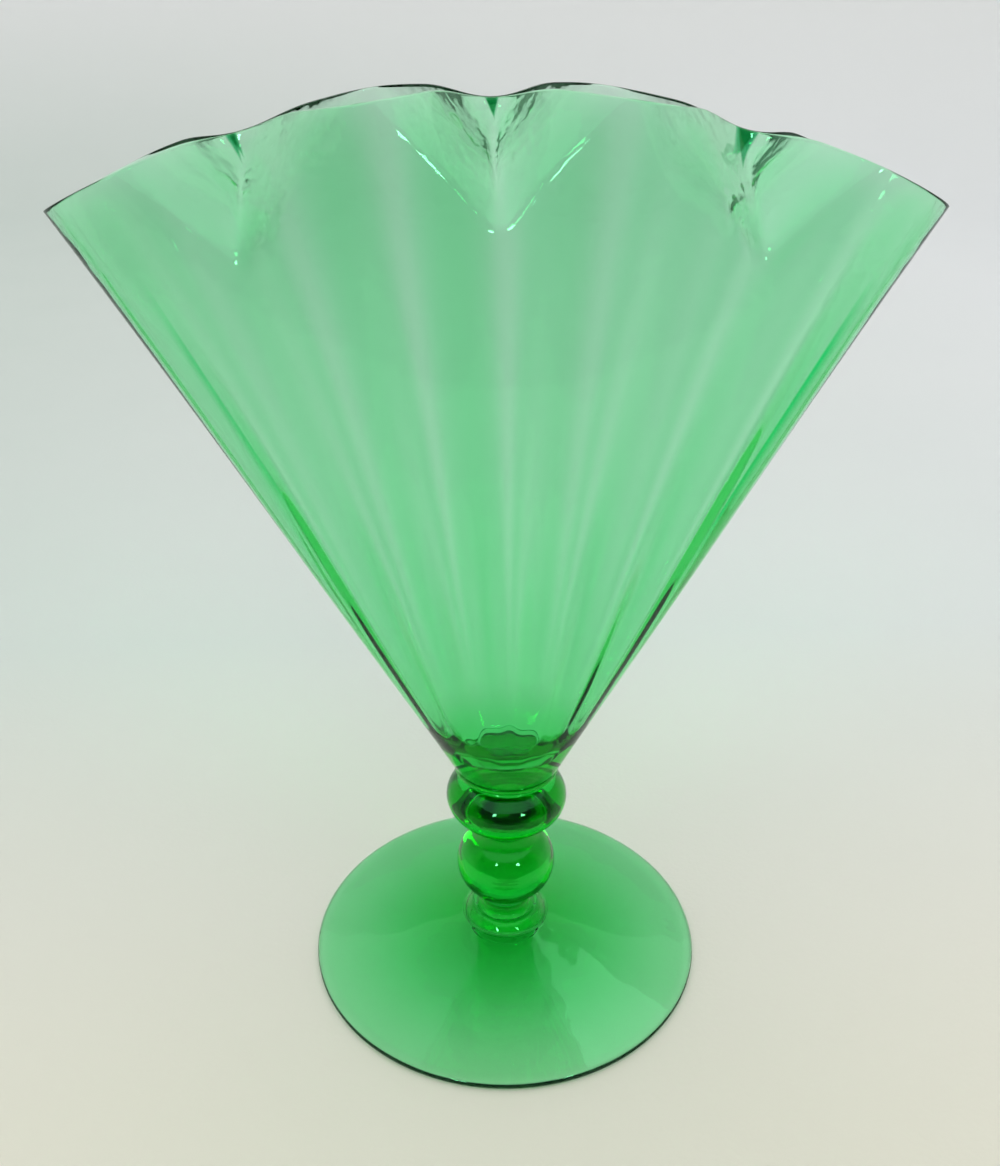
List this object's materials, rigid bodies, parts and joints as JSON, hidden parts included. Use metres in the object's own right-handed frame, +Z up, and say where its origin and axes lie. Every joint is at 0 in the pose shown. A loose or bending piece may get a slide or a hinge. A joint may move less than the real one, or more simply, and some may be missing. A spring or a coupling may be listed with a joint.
{
  "type": "fan vase",
  "caption": "Footed fan vase of transparent green glass: a flattened ribbed bowl with an arched, pinched rim on a knopped stem and a round spread foot.",
  "frame": {"origin": "centre of the round foot, on the surface the vase stands on", "axes": "+Z up, X along the width of the fan, -Y towards the front"},
  "size_m": [0.1776, 0.102, 0.2143],
  "materials": {
    "green_glass": "fire-polished transparent green glass"
  },
  "bodies": {
    "root": {"foot": "green_glass", "foot_wafer": "green_glass", "lower_knop": "green_glass", "upper_knop": "green_glass", "bowl_wafer": "green_glass", "fan_bowl": "green_glass"}
  },
  "joints": []
}
